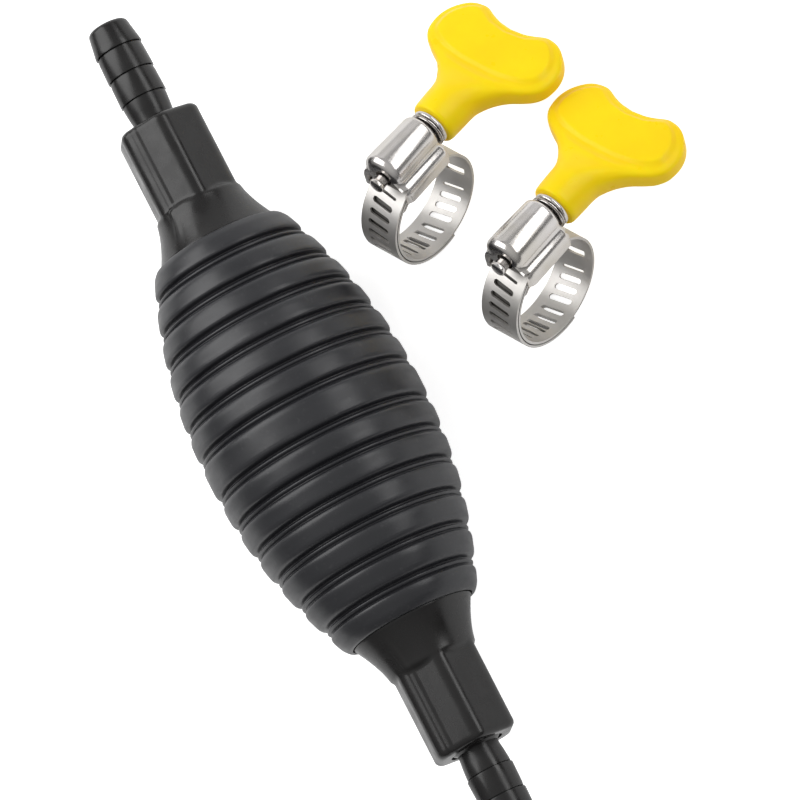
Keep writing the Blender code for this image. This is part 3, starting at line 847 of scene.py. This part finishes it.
# Half widths of the housing's sides at heights over the ring's middle, in millimetres.
WAISTED_SIDE = [
    (5.15, 8.6), (5.15, 10.3), (5.05, 11.0), (4.8, 11.55), (4.4, 12.0), (3.95, 12.35), (3.65, 12.7),
]
PLAIN_SIDE = [(5.15, 8.6), (5.15, 10.6), (5.12, 11.3), (5.0, 12.0), (4.8, 12.6), (4.62, 13.1)]


def dome_points(radius, start, end, steps):
    """Points (across, height) of an arc over the screw, from and to angles in degrees."""
    points = []
    for i in range(steps + 1):
        a = math.radians(start + (end - start) * i / steps)
        points.append((DOME_OFFSET + radius * math.cos(a), SCREW_HEIGHT + radius * math.sin(a)))
    return points


def housing_outline(less, widened):
    """Cross-section: plain side, round dome, waisted side.

    Less is how far the form is drawn in; widened is the share by which its +y side flares."""
    skirt_less = min(less, 0.5 * MM)
    points = [(y * MM - skirt_less, z * MM) for y, z in PLAIN_SIDE]
    points += dome_points(DOME_RADIUS - less, -4, 187, 40)
    points += [(skirt_less - y * MM, z * MM) for y, z in reversed(WAISTED_SIDE)]
    return [(y * (1 + widened) if y > 0 else y, z) for y, z in points]


def housing_form():
    """The housing's outside: widely rounded at the stub end, where it flares, and less at the key."""
    flare = 0.16
    stub_rounding, key_rounding = 1.7 * MM, 0.9 * MM
    stub_half = HOUSING_HALF + 0.4 * MM
    quarter = [UPRIGHT * i / 8 for i in range(9)]
    stations = []
    for a in reversed(quarter):
        x = -(stub_half - stub_rounding + stub_rounding * math.sin(a))
        stations.append((x, stub_rounding * (1 - math.cos(a))))
    for a in quarter:
        x = HOUSING_HALF - key_rounding + key_rounding * math.sin(a)
        stations.append((x, key_rounding * (1 - math.cos(a))))
    rings = []
    for x, less in stations:
        widened = flare * (HOUSING_HALF - x) / (2 * HOUSING_HALF)
        rings.append([Vector((x, y, z)) for y, z in housing_outline(less, widened)])
    return skin("housing", rings, False)


def hollow_form():
    """Round space for the worm, rounded at its ends; the band's passage opens it below."""
    radius = DOME_RADIUS - HOUSING_WALL
    reach = HOUSING_HALF - HOUSING_WALL
    stations = [(-reach, 0.6), (-reach + 0.25 * MM, 0.2), (-reach + 0.6 * MM, 0.0)]
    stations += [(reach - 0.4 * MM, 0.0), (reach, 0.4)]
    rings = []
    for x, less in stations:
        rings.append([Vector((x, y, z)) for y, z in dome_points(radius - less * MM, -40, 220, 32)])
    return skin("hollow", rings, False)


def box_mesh(low, high):
    """A box between two corners, as a cutter."""
    (x0, y0, z0), (x1, y1, z1) = low, high
    corners = ((x0, y0), (x1, y0), (x1, y1), (x0, y1))
    return skin("box", [[Vector((x, y, z)) for x, y in corners] for z in (z0, z1)], False)


def along_x(mesh, x, height):
    """Turn a piece made along z so that it runs along x at a height over the ring's middle."""
    mesh.transform(Matrix.Translation((x, 0, height)) @ Matrix.Rotation(UPRIGHT, 4, "Y"))
    return mesh


def housing_mesh():
    """Folded sheet: outer form less its hollow, the band's passage and the screw's two holes."""
    inside = SKIRT_HALF - HOUSING_WALL
    through = 2 * HOUSING_HALF
    passage = box_mesh((-through, -inside, 0), (through, inside, TAIL_RADIUS + 0.25 * MM))
    stub_hole, shank_hole, drill_half = 1.75 * MM, 2.05 * MM, 1.2 * MM
    holes = []
    for radius, x in ((stub_hole, -HOUSING_HALF), (shank_hole, HOUSING_HALF)):
        drill = turned("hole", [(-drill_half, radius), (drill_half, radius)], 48, closed=False)
        holes.append(along_x(drill, x, SCREW_HEIGHT))
    return cut_with(housing_form(), [hollow_form(), passage] + holes)


# (along the screw, radius) in millimetres: mushroomed stub, and shank with the flange in the key.
STUB_PROFILE = [
    (-8.8, 1.1), (-8.76, 1.3), (-8.62, 1.46), (-8.3, 1.5), (-8.0, 1.47), (-7.85, 1.36), (-7.75, 1.3),
    (-4.9, 1.3),
]
SHANK_PROFILE = [
    (4.85, 1.7), (7.05, 1.7), (7.05, 3.45), (7.12, 3.6), (7.25, 3.68), (7.6, 3.68), (7.75, 3.6),
]


def thread_radius(x, angle):
    """Radius of the worm: a ridge of rounded trapezoid section on its core."""
    turns = x / THREAD_PITCH - (angle + UPRIGHT) / math.tau
    from_crest = abs((turns + 0.5) % 1.0 - 0.5) * THREAD_PITCH
    return WORM_CORE + (WORM_RADIUS - WORM_CORE) * ramp(from_crest, 0.55 * MM, 0.12 * MM)


def worm_screw_mesh():
    """Stub, worm, shank through the end wall, flange and square drive, along x."""
    sides, rows = 64, 94
    worm_half = 4.7 * MM
    angles = [math.tau * i / sides for i in range(sides)]
    rings = []

    def ring(x, radii):
        rings.append([Vector((x, r * math.cos(a), r * math.sin(a))) for a, r in zip(angles, radii)])

    for x, radius in STUB_PROFILE:
        ring(x * MM, [radius * MM] * sides)
    for i in range(rows + 1):
        x = -worm_half + 2 * worm_half * i / rows
        ring(x, [thread_radius(x, a) for a in angles])
    for x, radius in SHANK_PROFILE:
        ring(x * MM, [radius * MM] * sides)
    for x in (7.76 * MM, DRIVE_END):
        ring(x, [DRIVE_HALF / max(abs(math.cos(a)), abs(math.sin(a))) for a in angles])
    return skin("worm_screw", rings, False)


def washer_mesh():
    """Two thin stacked rings with rounded rims, drawn as one piece."""
    low, inner = 6.3 * MM, 2.0 * MM
    end = low + 0.45 * MM
    profile = [(low, inner), (low, 3.3 * MM), (low + 0.05 * MM, 3.45 * MM), (low + 0.12 * MM, 3.5 * MM)]
    profile += [(low + 0.18 * MM, 3.42 * MM), (low + 0.2 * MM, 3.32 * MM), (low + 0.23 * MM, 3.5 * MM)]
    profile += [(low + 0.3 * MM, 3.72 * MM), (low + 0.38 * MM, 3.72 * MM), (end, 3.6 * MM), (end, inner)]
    return turned("washer", profile, 96)


# The key in millimetres: half widths at distances from the end of its stem, and its other measures.
KEY_OUTLINE = [
    (0, 4.45), (1.1, 4.65), (3.7, 4.8), (7.0, 5.0), (8.9, 5.9), (10.6, 7.2), (12.1, 8.95), (13.3, 11.0),
    (14.5, 12.7), (16.2, 13.95), (18.1, 14.38), (20.0, 14.35), (22.0, 13.75), (23.7, 12.65), (25.0, 11.3),
    (25.7, 10.2), (26.1, 9.2), (26.3, 8.1),
]
KEY_START = 8.05
KEY_LENGTH = 26.3
KEY_NOTCH = 2.0
KEY_SIDES = 160
STEM_HALF_THICKNESS = 4.6
PLATE_HALF_THICKNESS = 2.45
STEM_ROUNDING = 0.5
PAD_HEIGHT = 0.62
PAD_START = 12.9
RIM_HEIGHT = 0.2
RIM_WIDTH = 0.7


def signed_power(value, power):
    """The power of a value's size, with the value's sign."""
    return math.copysign(abs(value) ** power, value)


def face_rise(t, across, from_side, notch):
    """How far the key's face stands out: a low rim, a fine groove, and a bean-shaped pad."""
    from_rim = t - (PAD_START + 0.013 * across * across - 1.2)
    corner = smooth_max(1.0 - from_side / 2.6, 1.0 - from_rim / 2.6, 0.9)
    pad = ramp(corner, 0.5, 0.0) * ramp(KEY_LENGTH - t - 0.4 * notch, 0.7, 2.2)
    rim = math.exp(-((from_rim / RIM_WIDTH) ** 2)) * ramp(from_side, 0.6, 2.2)
    return abs(RIM_HEIGHT * rim - PAD_HEIGHT * pad)


def key_ring(t):
    """The key's outline at a distance from the end of its stem."""
    slope = (spline(KEY_OUTLINE, t + 0.2) - spline(KEY_OUTLINE, t - 0.2)) / 0.4
    flat = ramp(t, 4.5, 14.5)
    stem_edge = STEM_ROUNDING * (1 - math.sqrt(1 - (1 - min(1.0, t / 0.6)) ** 2))
    far_edge = min(1.0, (KEY_LENGTH - t) / 1.5)
    width = spline(KEY_OUTLINE, t) - stem_edge
    thick = STEM_HALF_THICKNESS + (PLATE_HALF_THICKNESS - STEM_HALF_THICKNESS) * flat - stem_edge
    thick *= 0.42 + 0.58 * math.sqrt(1 - (1 - far_edge) ** 2)
    power = 1.0 - 0.62 * flat
    ring = []
    for k in range(KEY_SIDES):
        a = math.tau * k / KEY_SIDES
        across = signed_power(math.cos(a), power) * width
        up = signed_power(math.sin(a), power) * thick
        from_side = (width - abs(across)) / math.sqrt(1 + slope * slope)
        notch = smooth_max(KEY_NOTCH * (1 - (across / 7.0) ** 2), 0.0, 0.5)
        up += math.copysign(face_rise(t, across, from_side, notch), up) * ramp(abs(up), 0.3, 1.2)
        x = KEY_START + t - notch * ramp(t, 19.0, KEY_LENGTH)
        ring.append(Vector((x, across, up)) * MM + Vector((0, 0, SCREW_HEIGHT)))
    return ring


def key_mesh():
    """Round stem with a socket, flattened into a butterfly plate with a raised pad on both faces."""
    stations = [0.0, 0.12, 0.3, 0.6]
    while stations[-1] < KEY_LENGTH - 1.6:
        stations.append(stations[-1] + 0.25)
    stations += [KEY_LENGTH - left for left in (1.3, 1.0, 0.75, 0.55, 0.38, 0.25, 0.15, 0.07, 0.02, 0.0)]
    key = skin("thumb_key", [key_ring(t) for t in stations], False, strips=True)
    half = DRIVE_SOCKET_HALF
    low = (6.5 * MM, -half, SCREW_HEIGHT - half)
    high = (DRIVE_SOCKET_END, half, SCREW_HEIGHT + half)
    return cut_with(key, [box_mesh(low, high)])


def round_the_screw(point):
    """UV for the folded and turned steel: along the screw and round it."""
    return point.x, math.atan2(point.z - SCREW_HEIGHT, point.y) * DOME_RADIUS


def build_clamp(name, finishes):
    """The pieces are made in the clamp frame, and their points are then moved into the world."""
    place = clamp_place(name)
    at_screw = Matrix.Translation((0, 0, SCREW_HEIGHT))

    def put(label, mesh, look, body, node):
        mesh.transform(place)
        return add(name + "_" + label, mesh, finishes[look], Matrix(), body, [name + "_" + node])

    loop_strip = band_mesh("inner_strip", LOOP_RADIUS, LOOP_START, -1, loop_holes())
    shade_covered_faces(loop_strip)
    loop = put("inner_strip", loop_strip, "band_steel", name, "band_loop")
    # the dark second material is painted shade where the outer strip covers the inner strip
    loop.data.materials.append(finishes["shaded_steel"])
    tail_strip = band_mesh("outer_strip", TAIL_RADIUS, TAIL_TIP, 1, tail_holes())
    tail = put("outer_strip", tail_strip, "band_steel", name + "_tail", "band_tail")
    saddle = saddle_mesh()
    housing = housing_mesh()
    screw = worm_screw_mesh()
    screw.transform(at_screw)
    rings = along_x(washer_mesh(), 0, SCREW_HEIGHT)
    for mesh in (saddle, housing, screw, rings):
        lay_uv(mesh, round_the_screw)
    plate = put("saddle_plate", saddle, "clamp_steel", name, "saddle")
    for piece in (loop, tail, plate):
        bevel(piece, 0.07 * MM)
    shell = put("folded_housing", housing, "clamp_steel", name, "housing")
    bevel(shell, 0.06 * MM)
    turning = name + "_screw"
    put("screw_body", screw, "clamp_steel", turning, "worm_screw")
    put("rings", rings, "clamp_steel", turning, "washer")
    key = put("butterfly_key", key_mesh(), "key_plastic", turning, "thumb_key")
    key.visible_glossy = False


# ------------------------------------------------------------------ studio
VIEW_DIRECTION = Vector((0.33832, -0.1814, 0.92338))
VIEW_RIGHT = Vector((0.80534, -0.45178, -0.38382))
CAMERA_PLACE = Vector((0.44063, -0.24675, 1.2624))
FOCAL_LENGTH = 328.05
SENSOR_WIDTH = 36
LIGHT_DISTANCE = 0.9
SET_MIDDLE = Vector((0, 0, 0.02))


def add_camera():
    """A long lens that looks down at the set, a little from one side."""
    camera = bpy.data.objects.new("camera", bpy.data.cameras.new("camera"))
    bpy.context.scene.collection.objects.link(camera)
    back = VIEW_DIRECTION.normalized()
    right = (VIEW_RIGHT - back * VIEW_RIGHT.dot(back)).normalized()
    place = Matrix((right, back.cross(right), back)).transposed().to_4x4()
    place.translation = CAMERA_PLACE
    camera.matrix_world = place
    camera.data.lens = FOCAL_LENGTH
    camera.data.sensor_width = SENSOR_WIDTH
    camera.data.clip_start = 0.05
    camera.data.clip_end = 20
    bpy.context.scene.camera = camera


def add_light(name, direction, size, power):
    """A soft rectangular light aimed at the set."""
    data = bpy.data.lights.new(name, "AREA")
    data.shape = "RECTANGLE"
    data.size, data.size_y = size
    data.energy = power
    lamp = bpy.data.objects.new(name, data)
    bpy.context.scene.collection.objects.link(lamp)
    toward = Vector(direction).normalized()
    lamp.location = SET_MIDDLE + toward * LIGHT_DISTANCE
    lamp.rotation_euler = (-toward).to_track_quat("-Z", "Y").to_euler()


def add_sky():
    """White surround, dim at the horizon and brighter overhead."""
    world = bpy.data.worlds.new("studio")
    world.use_nodes = True
    nodes, links = world.node_tree.nodes, world.node_tree.links
    background = nodes["Background"]
    background.inputs["Color"].default_value = (1.0, 1.0, 1.0, 1.0)
    coords = nodes.new("ShaderNodeTexCoord")
    split = nodes.new("ShaderNodeSeparateXYZ")
    ranged = nodes.new("ShaderNodeMapRange")
    for key, number in (("From Min", 0.0), ("From Max", 1.0), ("To Min", 0.12), ("To Max", 0.62)):
        ranged.inputs[key].default_value = number
    links.new(coords.outputs["Generated"], split.inputs[0])
    links.new(split.outputs["Z"], ranged.inputs["Value"])
    links.new(ranged.outputs["Result"], background.inputs["Strength"])
    bpy.context.scene.world = world


def build_studio():
    """Camera, floor just below the pieces, sky and lights."""
    add_camera()
    bm = bmesh.new()
    bmesh.ops.create_grid(bm, x_segments=8, y_segments=8, size=4.0)
    floor = bpy.data.objects.new("floor", to_mesh(bm, "floor"))
    floor.data.materials.append(backdrop())
    bpy.context.scene.collection.objects.link(floor)
    floor.location.z = -0.05 * MM
    add_sky()
    bpy.context.scene.view_settings.view_transform = "Standard"
    add_light("key_light", (-0.42, 0.55, 0.72), (0.8, 0.8), 5.2)
    add_light("right_panel", (0.87, 0.12, 0.47), (1.0, 0.28), 2.6)
    add_light("back_panel", (0.15, 0.95, 0.22), (1.3, 0.45), 1.0)


def main():
    """Finishes, studio, pump and clamps."""
    finishes = {
        "bulb_rubber": bulb_rubber(),
        "fitting": fitting_plastic(),
        "seal_rubber": seal_rubber(),
        "valve_plastic": valve_plastic(),
        "spring_steel": spring_steel(),
        "clamp_steel": clamp_steel(),
        "band_steel": strip_steel("band_steel", (0.62, 0.6, 0.58), (0.5, 0.485, 0.46)),
        # a dark copy of the band steel: painted shade between the two layers of strip
        "shaded_steel": strip_steel("shaded_steel", (0.1, 0.095, 0.09), (0.05, 0.048, 0.045)),
        "key_plastic": key_plastic(),
    }
    build_studio()
    build_pump(finishes)
    for name in CLAMPS:
        build_clamp(name, finishes)


main()
